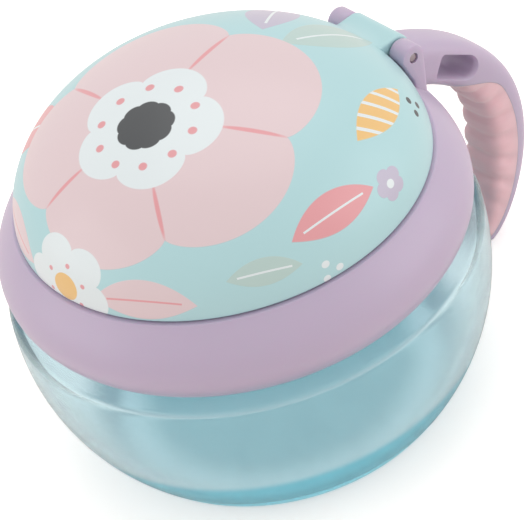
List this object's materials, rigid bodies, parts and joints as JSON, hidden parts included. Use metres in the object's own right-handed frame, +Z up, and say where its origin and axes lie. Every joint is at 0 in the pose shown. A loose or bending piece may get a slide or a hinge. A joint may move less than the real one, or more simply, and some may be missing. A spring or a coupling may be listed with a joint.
{
  "type": "toddler snack container",
  "caption": "Round see-through snack bowl with a screw collar, hook handle with soft grip, soft flap insert and a domed lid on a pinned hinge.",
  "frame": {"origin": "centre of the bowl's flat base, on the surface that it stands on", "axes": "+Z up along the bowl's axis, +Y towards the handle, X along the lid's hinge pin"},
  "size_m": [0.1078, 0.1336, 0.0895],
  "materials": {
    "bowl_plastic": "clear tinted plastic, gloss",
    "collar_plastic": "satin moulded",
    "lid_plastic": "satin moulded, printed on top",
    "grip_rubber": "soft, matte",
    "flap_rubber": "soft, matte",
    "pin_steel": "ground"
  },
  "bodies": {
    "bowl": {"bowl": "bowl_plastic"},
    "flap_insert": {"flap_ring": "flap_rubber"},
    "collar": {"collar": "collar_plastic", "handle": "collar_plastic", "handle_grip": "grip_rubber", "hinge_pin": "pin_steel"},
    "lid": {"lid_shell": "lid_plastic", "lid_liner": "lid_plastic"},
    "flap_1": {"flap_1": "flap_rubber"},
    "flap_2": {"flap_2": "flap_rubber"},
    "flap_3": {"flap_3": "flap_rubber"},
    "flap_4": {"flap_4": "flap_rubber"},
    "flap_5": {"flap_5": "flap_rubber"},
    "flap_6": {"flap_6": "flap_rubber"}
  },
  "joints": [
    {"name": "collar_lift", "type": "slide", "parent": "bowl", "child": "flap_insert", "axis": [0, 0, 1], "range_m": [0, 0.01502]},
    {"name": "collar_twist", "type": "hinge", "parent": "flap_insert", "child": "collar", "pos_m": [0, 0, 0.05], "axis": [0, 0, 1], "range_deg": [0, 1350]},
    {"name": "lid_hinge", "type": "hinge", "parent": "collar", "child": "lid", "pos_m": [0, 0.0475, 0.0683], "axis": [-1, 0, 0], "range_deg": [0, 150]},
    {"name": "flap_1_bend", "type": "hinge", "parent": "flap_insert", "child": "flap_1", "pos_m": [0.01625, 0.02815, 0.05635], "axis": [0.866, -0.5, 0], "range_deg": [0, 75], "stiffness_Nm_per_rad": 0.006, "springref_deg": -1.72},
    {"name": "flap_2_bend", "type": "hinge", "parent": "flap_insert", "child": "flap_2", "pos_m": [-0.01625, 0.02815, 0.05635], "axis": [0.866, 0.5, 0], "range_deg": [0, 75], "stiffness_Nm_per_rad": 0.006, "springref_deg": -1.72},
    {"name": "flap_3_bend", "type": "hinge", "parent": "flap_insert", "child": "flap_3", "pos_m": [-0.0325, 0, 0.05635], "axis": [0, 1, 0], "range_deg": [0, 75], "stiffness_Nm_per_rad": 0.006, "springref_deg": -1.72},
    {"name": "flap_4_bend", "type": "hinge", "parent": "flap_insert", "child": "flap_4", "pos_m": [-0.01625, -0.02815, 0.05635], "axis": [-0.866, 0.5, 0], "range_deg": [0, 75], "stiffness_Nm_per_rad": 0.006, "springref_deg": -1.72},
    {"name": "flap_5_bend", "type": "hinge", "parent": "flap_insert", "child": "flap_5", "pos_m": [0.01625, -0.02815, 0.05635], "axis": [-0.866, -0.5, 0], "range_deg": [0, 75], "stiffness_Nm_per_rad": 0.006, "springref_deg": -1.72},
    {"name": "flap_6_bend", "type": "hinge", "parent": "flap_insert", "child": "flap_6", "pos_m": [0.0325, 0, 0.05635], "axis": [0, -1, 0], "range_deg": [0, 75], "stiffness_Nm_per_rad": 0.006, "springref_deg": -1.72}
  ],
  "couplings": [
    {"joint": "collar_lift", "follows": "collar_twist", "m_per_rad": 0.00063662}
  ]
}
